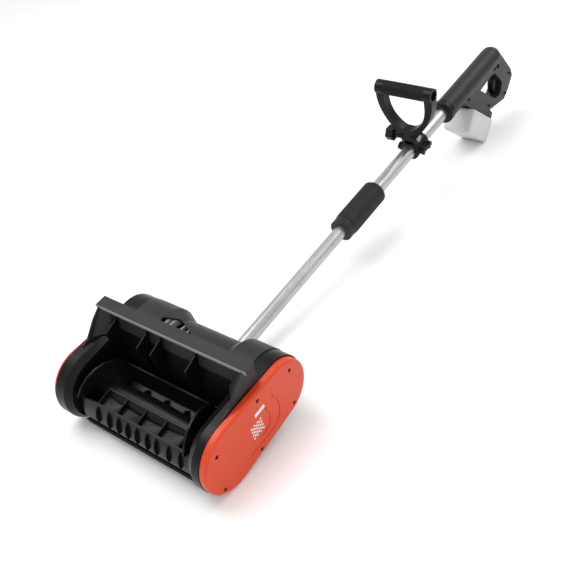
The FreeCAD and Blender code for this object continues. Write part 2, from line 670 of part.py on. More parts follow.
HANDLE_OUTLINE = [(975, -66), along_foot(-14, -1.6), along_foot(86, -1.6), (1080, -165), (1104, -169),
                  (1176, -186), (1200, -172), (1222, -148), (1216, -128), (1162, -54), (1140, -50)]
FINGER_HOLE = [(1062, -91), (1118, -87), (1136, -92), (1168, -134), (1164, -152), (1150, -162), (1128, -154)]


def handle_solid():
    barrel = cyl_y(BARREL_R, COLLAR_Y1 + 0.05, BARREL_Y1, 0, POLE_Z)
    rear = Part.makeSphere(BARREL_R, Vec(0, BARREL_Y1, POLE_Z))
    blade = prism(HANDLE_OUTLINE, -HANDLE_HALF, HANDLE_HALF)
    hole = prism(FINGER_HOLE, -HANDLE_HALF - 1, HANDLE_HALF + 1)
    return fused([barrel, rear, blade]).cut(hole)


def handle_cavity():
    # bore for the tube, space for wires, switch and terminals
    bore = cyl_y(UPPER_R + 0.05, COLLAR_Y1 - 1, UPPER_Y1 + 0.2, 0, POLE_Z)
    wires = cyl_y(BARREL_R - 4, UPPER_Y1 + 0.2, BARREL_Y1, 0, POLE_Z)
    block = [along_foot(6, -24), along_foot(76, -24), along_foot(76, -4.5), along_foot(6, -4.5)]
    terminal = prism(block, -13, 13)
    slot = prism([along_foot(14, -5), along_foot(50, -5), along_foot(50, 0), along_foot(14, 0)], -9, 9)
    behind = [(1163, -78), (1204, -134), (1196, -158), (1178, -166), (1184, -146), (1156, -104)]
    grip = prism(behind, -12, 12)
    push = cyl_x(LOCK_OFF_R + 0.35, -30, 30, LOCK_OFF_Y, LOCK_OFF_Z)
    travel = []
    for step in range(TRIGGER_STEPS + 1):
        room = grown_prism(TRIGGER_OUTLINE, TRIGGER_GAP, -8.0, 8.0)
        moved = (TRIGGER_TRAVEL + TRIGGER_GAP) * step / TRIGGER_STEPS
        room.translate(Vec(0, TRIGGER_PULL[0] * moved, TRIGGER_PULL[1] * moved))
        travel.append(room)
    return [bore, wires, terminal, slot, grip, push] + travel


def handle_shell(solid, side):
    half = box(SEAM, 60, 880, 1260, -240, 0) if side > 0 else box(-60, -SEAM, 880, 1260, -240, 0)
    return solid.common(half)


def tube_collar():
    body = cyl_y(BARREL_R + 1.5, HANDLE_Y0, COLLAR_Y1, 0, POLE_Z)
    front = [edge for edge in body.Edges if edge.BoundBox.YMax < HANDLE_Y0 + 0.01]
    body = body.makeFillet(3, front)
    return body.cut(cyl_y(UPPER_R + 0.02, HANDLE_Y0 - 1, COLLAR_Y1 + 1, 0, POLE_Z))


def handle_screws():
    places = [(1006, -79), (1132, -79.5), (1098, -155), (1182, -174), (1206, -134)]
    return group([cyl_x(2.8, HANDLE_HALF + 0.05, HANDLE_HALF + 1.4, y, z) for y, z in places])


def rear_pad():
    # soft grip pad over the back of the loop
    skin = 1.6
    points = [(1162, -54), (1216, -128), (1216 + skin * 2, -128), (1163 + skin, -52)]
    return prism(points, -11, 11).cut(handle_solid())


def foot_guard():
    # hook behind the battery, under the foot's rear end
    points = [along_foot(87, -1.6), (1080.5, -165.5), (1104, -169.4), (1115, -185), along_foot(137, -1.8)]
    return prism(points, -HANDLE_HALF, HANDLE_HALF)


def trigger():
    return prism(TRIGGER_OUTLINE, -7.5, 7.5)


def lock_off_button():
    return cyl_x(LOCK_OFF_R, -HANDLE_HALF - 3.0, HANDLE_HALF + 3.0, LOCK_OFF_Y, LOCK_OFF_Z)


def switch_module():
    return prism([(1168, -97), (1186, -121), (1178, -127), (1160, -103)], -8, 8)


def terminal_block():
    return prism([along_foot(10, -20), along_foot(60, -20), along_foot(60, -6), along_foot(10, -6)], -11, 11)


def battery_case():
    outline = [along_foot(0, 0), along_foot(BATTERY_LENGTH, 0), along_foot(BATTERY_LENGTH, BATTERY_HEIGHT),
               along_foot(0, BATTERY_HEIGHT)]
    case = prism(outline, -BATTERY_HALF, BATTERY_HALF)
    case = case.makeFillet(BATTERY_EDGE_R, case.Edges)
    inset = 3
    hollow = prism([along_foot(inset, inset), along_foot(BATTERY_LENGTH - inset, inset),
                    along_foot(BATTERY_LENGTH - inset, BATTERY_HEIGHT - inset),
                    along_foot(inset, BATTERY_HEIGHT - inset)], -BATTERY_HALF + inset, BATTERY_HALF - inset)
    hollow = hollow.makeFillet(BATTERY_EDGE_R - inset, hollow.Edges)
    return case.cut(hollow)


def battery_cells():
    # two layers of five cells, laid across the pack
    cells = []
    for layer in range(2):
        for index in range(5):
            y, z = along_foot(BATTERY_LENGTH / 2 + (index - 2) * 20, 18 + layer * 20)
            cells.append(cyl_x(9.2, -28, 28, y, z))
    return group(cells)


def battery_release():
    return prism([along_foot(BATTERY_LENGTH + 0.3, 12), along_foot(BATTERY_LENGTH + 3.5, 14),
                  along_foot(BATTERY_LENGTH + 3.5, 30), along_foot(BATTERY_LENGTH + 0.3, 32)], -13, 13)


def pole_cable(y0, y1):
    return cyl_y(3.0, y0, y1, 0, POLE_Z)


# ---------------------------------------------------------------- assembly

def rest_tilt():
    # angle at which the housings' front circles and the battery's lower corner meet one plane
    y, z = along_foot(BATTERY_LENGTH - BATTERY_EDGE_R, BATTERY_HEIGHT - BATTERY_EDGE_R)
    reach = math.hypot(y, z)
    drop = HOUSING_FRONT_R - BATTERY_EDGE_R
    return math.degrees(math.atan2(-z, y) - math.asin(drop / reach))


def build():
    shell = rear_shell()
    handle = handle_solid()
    for cavity in handle_cavity():
        handle = handle.cut(cavity)
    right_cover = side_cover(HOUSING_OUT_X + 0.05, COVER_FRONT_R, COVER_REAR_R)
    left_cover = side_cover(LEFT_HOUSING_OUT_X + 0.05, LEFT_COVER_FRONT_R, LEFT_COVER_REAR_R)
    flights = [end_flight(1), end_flight(-1)]
    return {
        "scoop_trough": scoop_trough(),
        "scraper_bar": scraper_bar(),
        "visor_hood": visor_hood(),
        "deflector_fins": deflector_fins(),
        "side_housing_right": side_housing(HOUSING_OUT_X),
        "side_housing_left": mirrored(side_housing(LEFT_HOUSING_OUT_X)),
        "side_cover_right": right_cover,
        "side_cover_left": mirrored(left_cover),
        "cover_screws": cover_screws(),
        "auger_bearings": auger_bearings(),
        "drive_belt": drive_belt(),
        "auger_core": auger_core(),
        "auger_paddle_front": paddle(0, flights),
        "auger_paddle_rear": paddle(180, flights),
        "auger_flight_right": flights[0],
        "auger_flight_left": flights[1],
        "auger_shaft": auger_shaft(),
        "driven_pulley": flanged_pulley(DRIVEN_PULLEY_R, SHAFT_R, 0, 0),
        "drive_pulley": flanged_pulley(DRIVE_PULLEY_R, ROTOR_R, REAR_Y, REAR_Z),
        "motor_rotor": motor_rotor(),
        "motor_can": motor_can(),
        "motor_plate": motor_plate(),
        "motor_screws": motor_screws(),
        "rear_housing_upper": rear_housing_upper(shell),
        "rear_housing_lower": rear_housing_lower(shell),
        "rear_housing_screws": rear_housing_screws(),
        "vent_grille": vent_grille(),
        "control_board": control_board(),
        "pole_socket": pole_socket(),
        "socket_screws": socket_screws(),
        "lower_tube": tube(LOWER_R, LOWER_R - 1.2, LOWER_Y0 + 0.1, LOWER_Y1),
        "lower_cable": pole_cable(LOWER_Y0 + 4, LOWER_Y1 - 10),
        "upper_tube": tube(UPPER_R, UPPER_BORE_R, UPPER_Y0, UPPER_Y1),
        "upper_cable": pole_cable(LOWER_Y1 + 210, UPPER_Y1 + 60),
        "coupling_sleeve": coupling_sleeve(),
        "lock_ring": lock_ring(),
        "clamp_upper": clamp_upper(),
        "clamp_lower": clamp_lower(),
        "clamp_screws": clamp_screws(),
        "grip_bow": grip_bow(),
        "grip_sleeve": grip_sleeve(),
        "star_knob": star_knob(),
        "pivot_bolt": pivot_bolt(),
        "tube_collar": tube_collar(),
        "handle_shell_right": handle_shell(handle, 1),
        "handle_shell_left": handle_shell(handle, -1),
        "handle_screws": handle_screws(),
        "rear_pad": rear_pad(),
        "foot_guard": foot_guard(),
        "trigger": trigger(),
        "lock_off_button": lock_off_button(),
        "switch_module": switch_module(),
        "terminal_block": terminal_block(),
        "battery_case": battery_case(),
        "battery_cells": battery_cells(),
        "battery_release": battery_release(),
    }


def main():
    parts = build()
    tilt = rest_tilt()
    bounds = FreeCAD.BoundBox()
    for shape in parts.values():
        shape.rotate(Vec(0, 0, 0), Vec(1, 0, 0), tilt)
        bounds.add(shape.optimalBoundingBox())
    shift = Vec(-(bounds.XMin + bounds.XMax) / 2, -(bounds.YMin + bounds.YMax) / 2, -bounds.ZMin)
    os.makedirs("parts", exist_ok=True)
    for name, shape in parts.items():
        shape.translate(shift)
        shape.exportStep("parts/%s.step" % name)
        facts = (name, len(shape.Solids), shape.isValid(), shape.Volume)
        print("%-22s solids %d valid %s volume %.0f" % facts)
    print("tilt %.3f shift %.3f %.3f %.3f" % (tilt, shift.x, shift.y, shift.z))
    print("size %.1f %.1f %.1f" % (bounds.XLength, bounds.YLength, bounds.ZLength))


main()
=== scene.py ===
import json
import math

import bmesh
import bpy
from mathutils import Matrix, Vector


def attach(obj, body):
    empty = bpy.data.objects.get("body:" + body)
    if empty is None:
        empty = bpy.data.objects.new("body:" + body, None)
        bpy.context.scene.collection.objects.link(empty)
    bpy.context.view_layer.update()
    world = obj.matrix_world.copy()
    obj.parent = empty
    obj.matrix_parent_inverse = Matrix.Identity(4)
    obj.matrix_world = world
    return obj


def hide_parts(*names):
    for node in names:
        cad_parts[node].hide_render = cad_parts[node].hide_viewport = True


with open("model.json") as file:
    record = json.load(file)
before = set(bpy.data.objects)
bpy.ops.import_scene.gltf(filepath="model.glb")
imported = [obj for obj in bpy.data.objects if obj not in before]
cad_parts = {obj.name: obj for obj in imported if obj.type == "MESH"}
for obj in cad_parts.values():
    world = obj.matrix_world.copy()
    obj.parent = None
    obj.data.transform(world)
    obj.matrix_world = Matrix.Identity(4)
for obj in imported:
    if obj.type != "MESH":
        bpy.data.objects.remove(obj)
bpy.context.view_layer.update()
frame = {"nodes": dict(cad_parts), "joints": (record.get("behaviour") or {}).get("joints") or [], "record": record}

print("frame loaded:", len(frame["nodes"]), "nodes")

# Sizes are in millimetres along the machine's own directions: x across it towards the belt side,
# y up the pole, z square to the pole. The origin is the middle of the auger's axis.
joints = {joint["name"]: joint for joint in frame["joints"]}
nodeBody = {node: body for body, nodes in frame["record"]["behaviour"]["bodies"].items() for node in nodes}
nodeSlot = {part["node"]: part["material_slot"] for part in frame["record"]["subparts"]}
acrossAxis = Vector((1, 0, 0))
poleAxis = Vector(joints["pole_telescope"]["axis"]).normalized()
squareAxis = acrossAxis.cross(poleAxis)
augerCentre = Vector(joints["auger_spin"]["pos_m"])
machineTurn = Matrix((acrossAxis, poleAxis, squareAxis)).transposed().to_4x4()
machineFrame = Matrix.Translation(augerCentre) @ machineTurn @ Matrix.Scale(0.001, 4)


def linearColour(hexText):
    channels = [int(hexText[i : i + 2], 16) / 255 for i in (1, 3, 5)]
    return (*[c / 12.92 if c <= 0.04045 else ((c + 0.055) / 1.055) ** 2.4 for c in channels], 1)


def addNode(tree, kind, settings=None, sockets=None):
    node = tree.nodes.new(kind)
    for name, value in (settings or {}).items():
        setattr(node, name, value)
    for name, value in (sockets or {}).items():
        if isinstance(value, bpy.types.NodeSocket):
            tree.links.new(value, node.inputs[name])
        else:
            node.inputs[name].default_value = value
    return node


def perMetre(sizeMm):
    return 1000 / sizeMm


def newMaterial(name, shaderSockets):
    material = bpy.data.materials.new(name)
    material.use_nodes = True
    tree = material.node_tree
    tree.nodes.clear()
    shader = addNode(tree, "ShaderNodeBsdfPrincipled", None, shaderSockets)
    addNode(tree, "ShaderNodeOutputMaterial", None, {"Surface": shader.outputs["BSDF"]})
    return material, tree, shader


def spread(tree, value, low, high, toLow=0.0, toHigh=1.0):
    sockets = {"Value": value, "From Min": low, "From Max": high, "To Min": toLow, "To Max": toHigh}
    return addNode(tree, "ShaderNodeMapRange", None, sockets).outputs["Result"]


def twoTone(tree, factor, first, second):
    mix = addNode(tree, "ShaderNodeMix", {"data_type": "RGBA"}, {"Factor": factor})
    for index, tone in ((6, first), (7, second)):
        if isinstance(tone, bpy.types.NodeSocket):
            tree.links.new(tone, mix.inputs[index])
        else:
            mix.inputs[index].default_value = linearColour(tone)
    return mix.outputs[2]


def roundedEdge(tree, radiusMm):
    # normals turned round each sharp edge
    edge = addNode(tree, "ShaderNodeBevel", {"samples": 4}, {"Radius": radiusMm / 1000})
    return edge.outputs["Normal"]


def edgeMask(tree, edgeNormal):
    # 1 where the normal is turned round an edge, 0 on a face
    face = addNode(tree, "ShaderNodeNewGeometry")
    sockets = {0: edgeNormal, 1: face.outputs["Normal"]}
    turn = addNode(tree, "ShaderNodeVectorMath", {"operation": "DOT_PRODUCT"}, sockets)
    return spread(tree, turn.outputs["Value"], 0.99, 0.84)


mouldedAbs = {
    "ior": 1.52,
    "shine": 0.2,
    "driftMm": 70.0,
    "edgeMm": 0.8,
    "rubMm": 11.0,
    "rub": 0.35,
    "grainMm": 1.5,
    "grain": 0.3,
    "grainDepthMm": 0.3,
    "roughness": 0.45,
    "roughnessSpread": 0.08,
}


def mouldedPlastic(name, look):
    material, tree, shader = newMaterial(name, {"IOR": look["ior"], "Specular IOR Level": look["shine"]})
    place = addNode(tree, "ShaderNodeTexCoord").outputs["Object"]
    driftSockets = {"Vector": place, "Scale": perMetre(look["driftMm"]), "Detail": 4.0}
    drift = addNode(tree, "ShaderNodeTexNoise", None, driftSockets).outputs["Fac"]
    rubSockets = {"Vector": place, "Scale": perMetre(look["rubMm"]), "Detail": 5.0}
    rub = addNode(tree, "ShaderNodeTexNoise", None, rubSockets).outputs["Fac"]
    edgeNormal = roundedEdge(tree, look["edgeMm"])
    patches = spread(tree, rub, 0.4, 0.7, 0.0, look["rub"])
    wornSockets = {0: edgeMask(tree, edgeNormal), 1: patches}
    worn = addNode(tree, "ShaderNodeMath", {"operation": "MULTIPLY"}, wornSockets)
    pigment = twoTone(tree, spread(tree, drift, 0.3, 0.7), look["colour"], look["colourDrift"])
    tinted = twoTone(tree, worn.outputs["Value"], pigment, look["rubColour"])
    tree.links.new(tinted, shader.inputs["Base Color"])
    half = look["roughnessSpread"] / 2
    sheen = spread(tree, rub, 0.3, 0.7, look["roughness"] - half, look["roughness"] + half)
    tree.links.new(sheen, shader.inputs["Roughness"])
    # the mould's spark-eroded grain, drawn a few times coarser than the real 0.3 mm so that it shows
    grainSockets = {"Vector": place, "Scale": perMetre(look["grainMm"]), "Detail": 2.0}
    grain = addNode(tree, "ShaderNodeTexNoise", None, grainSockets).outputs["Fac"]
    bump = addNode(
        tree,
        "ShaderNodeBump",
        None,
        {
            "Height": grain,
            "Strength": look["grain"],
            "Distance": look["grainDepthMm"] / 1000,
            "Normal": edgeNormal,
        },
    )
    tree.links.new(bump.outputs["Normal"], shader.inputs["Normal"])
    return material


# Moulded black ABS of the scoop: a soft sheen on a fine grain, paler where it has been rubbed.
blackAbs = mouldedPlastic(
    "mouldedBlackAbs",
    mouldedAbs
    | {
        "colour": "#0a0a0b",
        "colourDrift": "#0e0e0f",
        "rubColour": "#2a2a2c",
        "roughness": 0.3,
        "shine": 0.16,
    },
)
# Same resin with more grey in it and a deeper grain, for the hood's top and the rear housing.
greyAbs = mouldedPlastic(
    "mouldedGreyAbs",
    mouldedAbs
    | {
        "colour": "#232427",
        "colourDrift": "#2a2b2e",
        "rubColour": "#4c4d50",
        "roughness": 0.44,
        "grain": 0.5,
    },
)
# Glass-filled nylon of the handle: dark grey and dry to the touch.
greyNylon = mouldedPlastic(
    "mouldedGreyNylon",
    mouldedAbs | {"colour": "#1e1f21", "colourDrift": "#252628", "rubColour": "#47484b", "roughness": 0.42},
)
# Orange-red ABS of the covers: polished mould, so it is smoother and brighter than the black.
orangeAbs = mouldedPlastic(
    "mouldedOrangeAbs",
    mouldedAbs
    | {
        "colour": "#c43a14",
        "colourDrift": "#cb411a",
        "rubColour": "#d9694a",
        "shine": 0.3,
        "roughness": 0.34,
        "grain": 0.12,
        "edgeMm": 1.2,
    },
)
# Soft grip, a thermoplastic elastomer: dull, with a slight drag.
softGrip = mouldedPlastic(
    "mouldedSoftGrip",
    mouldedAbs
    | {
        "colour": "#111112",
        "colourDrift": "#171718",
        "rubColour": "#2b2b2d",
        "roughness": 0.68,
        "grain": 0.6,
        "grainMm": 1.1,
    },
)
# Frosted polycarbonate of the battery case: pale, with a thin gloss over a cloudy body.
frostedShell = mouldedPlastic(
    "mouldedFrostedPolycarbonate",
    mouldedAbs
    | {
        "ior": 1.58,
        "shine": 0.5,
        "colour": "#b6b7ba",
        "colourDrift": "#c0c1c4",
        "rubColour": "#d2d3d5",
        "roughness": 0.4,
        "grain": 0.15,
    },
)


metalLines = {"strength": 0.25, "depthMm": 0.1, "roughnessHalf": 0.07}


def drawnAluminium(name, look):
    # metal with fine lines along the pole, which spread the highlight across them
    material, tree, shader = newMaterial(name, {"Metallic": 1.0})
    place = addNode(tree, "ShaderNodeTexCoord").outputs["Object"]
    turn = machineTurn.to_euler()
    across = perMetre(look["lineMm"])
    alongSockets = {
        "Vector": place,
        "Rotation": (-turn.x, 0, 0),
        "Scale": (across, perMetre(look["lineLengthMm"]), across),
    }
    along = addNode(tree, "ShaderNodeMapping", {"vector_type": "POINT"}, alongSockets)
    lines = addNode(
        tree,
        "ShaderNodeTexNoise",
        None,
        {"Vector": along.outputs["Vector"], "Scale": 1.0, "Detail": 4.0, "Roughness": 0.6},
    ).outputs["Fac"]
    driftSockets = {"Vector": place, "Scale": perMetre(look["driftMm"]), "Detail": 3.0}
    drift = addNode(tree, "ShaderNodeTexNoise", None, driftSockets).outputs["Fac"]
    lineTone = twoTone(tree, spread(tree, lines, 0.3, 0.7), look["dark"], look["light"])
    clouded = twoTone(tree, spread(tree, drift, 0.45, 0.9), lineTone, look["dark"])
    tree.links.new(clouded, shader.inputs["Base Color"])
    half = metalLines["roughnessHalf"]
    sheen = spread(tree, lines, 0.3, 0.7, look["roughness"] - half, look["roughness"] + half)
    tree.links.new(sheen, shader.inputs["Roughness"])
    bumpSockets = {
        "Height": lines,
        "Strength": metalLines["strength"],
        "Distance": metalLines["depthMm"] / 1000,
        "Normal": roundedEdge(tree, look["edgeMm"]),
    }
    bump = addNode(tree, "ShaderNodeBump", None, bumpSockets)
    tree.links.new(bump.outputs["Normal"], shader.inputs["Normal"])
    return material


# Aluminium tube, drawn and satin anodised: a soft pale streak down its length.
satinTube = drawnAluminium(
    "anodisedAluminiumTube",
    {
        "lineMm": 0.9,
        "lineLengthMm": 60.0,
        "driftMm": 90.0,
        "dark": "#a9a9a8",
        "light": "#cfcfcd",
        "roughness": 0.34,
        "edgeMm": 0.3,
    },
)
# Steel turned on a lathe: grey and bright, with short tool marks.
turnedSteel = drawnAluminium(
    "turnedSteel",
    {
        "lineMm": 0.7,
        "lineLengthMm": 5.0,
        "driftMm": 20.0,
        "dark": "#7b7b7c",
        "light": "#a5a5a6",
        "roughness": 0.3,
        "edgeMm": 0.4,
    },
)
# Zinc plated steel sheet: duller and greyer than the turned parts.
zincSteel = drawnAluminium(
    "zincPlatedSteel",
    {
        "lineMm": 6.0,
        "lineLengthMm": 8.0,
        "driftMm": 15.0,
        "dark": "#6d6e70",
        "light": "#86878a",
        "roughness": 0.42,
        "edgeMm": 0.5,
    },
)
# Blackened steel of the screws and the scraper: dark oxide that lets the metal shine on its edges.
blackenedSteel = drawnAluminium(
    "blackenedSteel",
    {
        "lineMm": 1.4,
        "lineLengthMm": 3.0,
        "driftMm": 10.0,
        "dark": "#1e1e20",
        "light": "#343437",
        "roughness": 0.38,
        "edgeMm": 0.4,
    },
)
# Moulded rubber of the belt and the wire: black and dry, with hardly any shine.
beltRubber = mouldedPlastic(
    "mouldedRubber",
    mouldedAbs
    | {"colour": "#161617", "colourDrift": "#1d1d1e", "rubColour": "#303031", "roughness": 0.75},
)
# Lacquered circuit board: smooth green, coppery where it is rubbed.
boardLacquer = mouldedPlastic(
    "lacqueredBoard",
    mouldedAbs
    | {"colour": "#1d5a34", "colourDrift": "#226a3d", "rubColour": "#8a6a2a", "roughness": 0.3},
)
# Shrunk wrap round the battery cells: a tight blue film with some gloss.
cellWrap = mouldedPlastic(
    "shrinkWrap",
    mouldedAbs
    | {"colour": "#2b4f8f", "colourDrift": "#325aa0", "rubColour": "#7f95bd", "roughness": 0.25},
)
# Mid grey ABS: on the hood's rim it is a pale strip that is a painted highlight along the visor's front edge; on
# the vent's bars it is the same resin, unpolished and paler.
paleHighlightAndVentGrey = mouldedPlastic(
    "paleGreyAbsAndPaintedHighlight",
    mouldedAbs | {"colour": "#7f8083", "colourDrift": "#87888b", "rubColour": "#a2a3a5", "roughness": 0.46},
)
# Screen-printed ink on the cover: thin, flat and pale.
palePrint = mouldedPlastic(
    "screenPrintedInk",
    mouldedAbs
    | {
        "colour": "#d9d6d2",
        "colourDrift": "#dedbd8",
        "rubColour": "#c9a79a",
        "roughness": 0.4,
        "grain": 0.1,
    },
)
slotMaterial = {
    "black_abs": blackAbs,
    "grey_abs": greyAbs,
    "orange_abs": orangeAbs,
    "satin_aluminium": satinTube,
    "soft_grip": softGrip,
    "bright_steel": turnedSteel,
    "dark_screw": blackenedSteel,
    "motor_steel": zincSteel,
    "belt_rubber": beltRubber,
    "board_green": boardLacquer,
    "pale_shell": frostedShell,
    "cell_wrap": cellWrap,
    "cable_jacket": beltRubber,
}
nodeMaterial = {"lock_ring": greyNylon, "coupling_sleeve": greyNylon, "vent_grille": paleHighlightAndVentGrey}
nodeMaterial |= {name: greyNylon for name in ("handle_shell_right", "handle_shell_left")}


def materialOf(node):
    return nodeMaterial.get(node) or slotMaterial[nodeSlot[node]]


for node, cadObject in frame["nodes"].items():
    cadObject.data.materials.clear()
    cadObject.data.materials.append(materialOf(node))
print("materials made:", len(bpy.data.materials))

meshLook = {"sharpDegrees": 32, "bevelDegrees": 30, "bevelProfile": 0.6, "mergeM": 2e-6, "flatDegrees": 0.8}


def camelName(node):
    first, *rest = node.split("_")
    return first + "".join(word.capitalize() for word in rest)


def looseMesh(shape, name):
    bmesh.ops.recalc_face_normals(shape, faces=shape.faces)
    mesh = bpy.data.meshes.new(name)
    shape.to_mesh(mesh)
    shape.free()
    return mesh


def addPiece(mesh, name, body, material, replaced=()):
    mesh.materials.clear()
    mesh.materials.append(material)
    mesh.polygons.foreach_set("material_index", [0] * len(mesh.polygons))
    mesh.polygons.foreach_set("use_smooth", [True] * len(mesh.polygons))
    mesh.set_sharp_from_angle(angle=math.radians(meshLook["sharpDegrees"]))
    piece = bpy.data.objects.new(name, mesh)
    bpy.context.scene.collection.objects.link(piece)
    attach(piece, body)
    if replaced:
        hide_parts(*replaced)
    return piece


def toPiece(shape, name, body, material, replaced=()):
    mesh = looseMesh(shape, name)
    mesh.transform(machineFrame)
    return addPiece(mesh, name, body, material, replaced)


def plate(shape, outline, low, high):
    # a flat plate square to x, its outline given as (y, z)
    lower = [shape.verts.new((low, y, z)) for y, z in outline]
    upper = [shape.verts.new((high, y, z)) for y, z in outline]
    shape.faces.new(lower[::-1])
    shape.faces.new(upper)
    for index in range(len(outline)):
        after = (index + 1) % len(outline)
        shape.faces.new((lower[index], lower[after], upper[after], upper[index]))


def block(shape, lowCorner, highCorner):
    (x0, y0, z0), (x1, y1, z1) = lowCorner, highCorner
    plate(shape, [(y0, z0), (y1, z0), (y1, z1), (y0, z1)], x0, x1)


def roundEdges(shape, width, segments=2):
    bmesh.ops.recalc_face_normals(shape, faces=shape.faces)
    paired = [edge for edge in shape.edges if len(edge.link_faces) == 2]
    limit = math.radians(meshLook["bevelDegrees"])
    bmesh.ops.bevel(
        shape,
        geom=[edge for edge in paired if edge.calc_face_angle() > limit],
        offset=width,
        segments=segments,
        profile=meshLook["bevelProfile"],
        affect="EDGES",
        clamp_overlap=True,
    )


def ringAt(shape, centre, radius, around):
    # a ring of corners round the z direction
    angles = [2 * math.pi * step / around for step in range(around)]
    return [
        shape.verts.new((centre[0] + radius * math.cos(a), centre[1] + radius * math.sin(a), centre[2]))
        for a in angles
    ]


def joinRings(shape, first, second):
    for step in range(len(first)):
        after = (step + 1) % len(first)
        shape.faces.new((first[step], first[after], second[after], second[step]))


def makeRepeater():
    # Geometry Nodes: copies of one small shape on the corners of a mesh, each turned by its corner's "turn"
    tree = bpy.data.node_groups.new("repeatedShapes", "GeometryNodeTree")
    face = tree.interface
    face.new_socket("Places", in_out="INPUT", socket_type="NodeSocketGeometry")
    shapeSocket = face.new_socket("Shape", in_out="INPUT", socket_type="NodeSocketObject")
    finishSocket = face.new_socket("Finish", in_out="INPUT", socket_type="NodeSocketMaterial")
    face.new_socket("Geometry", in_out="OUTPUT", socket_type="NodeSocketGeometry")
    given = addNode(tree, "NodeGroupInput")
    info = addNode(tree, "GeometryNodeObjectInfo", None, {"Object": given.outputs["Shape"]})
    turn = addNode(tree, "GeometryNodeInputNamedAttribute", {"data_type": "FLOAT_VECTOR"}, {"Name": "turn"})
    copySockets = {
        "Points": given.outputs["Places"],
        "Instance": info.outputs["Geometry"],
        "Rotation": turn.outputs["Attribute"],
    }
    copies = addNode(tree, "GeometryNodeInstanceOnPoints", None, copySockets)
    real = addNode(tree, "GeometryNodeRealizeInstances", None, {"Geometry": copies.outputs["Instances"]})
    finishSockets = {"Geometry": real.outputs["Geometry"], "Material": given.outputs["Finish"]}
    painted = addNode(tree, "GeometryNodeSetMaterial", None, finishSockets)
    addNode(tree, "NodeGroupOutput", None, {"Geometry": painted.outputs["Geometry"]})
    return tree, shapeSocket.identifier, finishSocket.identifier


repeater, shapeInput, finishInput = makeRepeater()


def repeatedAt(shape, places, turns, name, body, material, replaced=()):
    source = bpy.data.objects.new(name + "Shape", looseMesh(shape, name + "Shape"))
    points = bpy.data.meshes.new(name + "Places")
    points.from_pydata([tuple(place) for place in places], [], [])
    turned = points.attributes.new("turn", "FLOAT_VECTOR", "POINT")
    turned.data.foreach_set("vector", [value for turn in turns for value in turn])
    carrier = bpy.data.objects.new(name + "Row", points)
    for loose in (source, carrier):
        bpy.context.scene.collection.objects.link(loose)
    modifier = carrier.modifiers.new("copies", "NODES")
    modifier.node_group = repeater
    modifier[shapeInput] = source
    modifier[finishInput] = material
    bpy.context.view_layer.update()
    mesh = bpy.data.meshes.new_from_object(carrier.evaluated_get(bpy.context.evaluated_depsgraph_get()))
    carrier.modifiers.clear()
    for loose in (source, carrier):
        bpy.data.objects.remove(loose)
    mesh.name = name
    mesh.transform(machineFrame)
    return addPiece(mesh, name, body, material, replaced)


# Mould radius in mm on each part whose sharp edges show.
softened = {
    "grip_bow": 1.6,
    "clamp_upper": 1.2,
    "clamp_lower": 1.2,
    "star_knob": 1.4,
    "foot_guard": 1.4,
    "trigger": 1.6,
    "visor_hood": 0.8,
    "deflector_fins": 0.5,
    "auger_paddle_front": 0.7,
    "auger_paddle_rear": 0.7,
    "auger_flight_left": 0.7,
    "auger_flight_right": 0.7,
    "handle_shell_right": 1.6,
    "handle_shell_left": 1.6,
    "battery_case": 1.6,
}


def addSoftened():
    # merged copies of CAD parts, with a mould radius on every sharp edge
    for node, radius in softened.items():
        shape = bmesh.new()
        shape.from_mesh(frame["nodes"][node].data)
        bmesh.ops.remove_doubles(shape, verts=shape.verts, dist=meshLook["mergeM"])
        flat = math.radians(meshLook["flatDegrees"])
        bmesh.ops.dissolve_limit(shape, angle_limit=flat, verts=shape.verts, edges=shape.edges)
        name = camelName(node)
        mesh = looseMesh(shape, name)
        piece = addPiece(mesh, name, nodeBody[node], materialOf(node), [node])
        rounding = piece.modifiers.new("mouldRadius", "BEVEL")
        rounding.width = radius / 1000
        rounding.segments = 2
        rounding.limit_method = "ANGLE"
        rounding.angle_limit = math.radians(meshLook["sharpDegrees"])


coverLook = {
    "face": 162.7,
    "lines": [
        [(30, -37.5), (62, -38.5), (88, -36.5), (103, -26), (108.5, -8), (108.5, 8), (101, 22)],
        [(60, -27), (76, -24), (84.5, -12), (86, 2), (82, 14)],
    ],
    "lineWidth": 3.6,
    "lineHeight": 1.4,
    "gridCentre": (55.3, -2.5),
    "gridCell": 3.7,
    "gridSide": 3.5,
    "bar": (58.4, 19.2, 81.1, 26.1),
    "inkThick": 0.12,
}


def smoothPath(points, steps):
    # a curve through every point
    ends = [points[0], *points, points[-1]]
    path = []
    for index in range(1, len(ends) - 2):
        a, b, c, d = (Vector(ends[index + shift]) for shift in (-1, 0, 1, 2))
        for step in range(steps):
            t = step / steps
            square, cube = 2 * a - 5 * b + 4 * c - d, 3 * b - a - 3 * c + d
            path.append(0.5 * (2 * b + (c - a) * t + square * t**2 + cube * t**3))
    return path + [Vector(points[-1])]


def ridge(shape, path, width, height, base):
    # a raised line with a rounded back
    profile = [(-0.5, 0.0), (-0.36, 0.6), (0.0, 1.0), (0.36, 0.6), (0.5, 0.0)]
    sections = []
    for index, point in enumerate(path):
        along = (path[min(index + 1, len(path) - 1)] - path[max(index - 1, 0)]).normalized()
        side = Vector((-along.y, along.x))
        places = [(base + height * rise, point + side * width * across) for across, rise in profile]
        sections.append([shape.verts.new((x, place.x, place.y)) for x, place in places])
    for first, second in zip(sections, sections[1:]):
        joinRings(shape, first, second)
    shape.faces.new(sections[0][::-1])
    shape.faces.new(sections[-1])


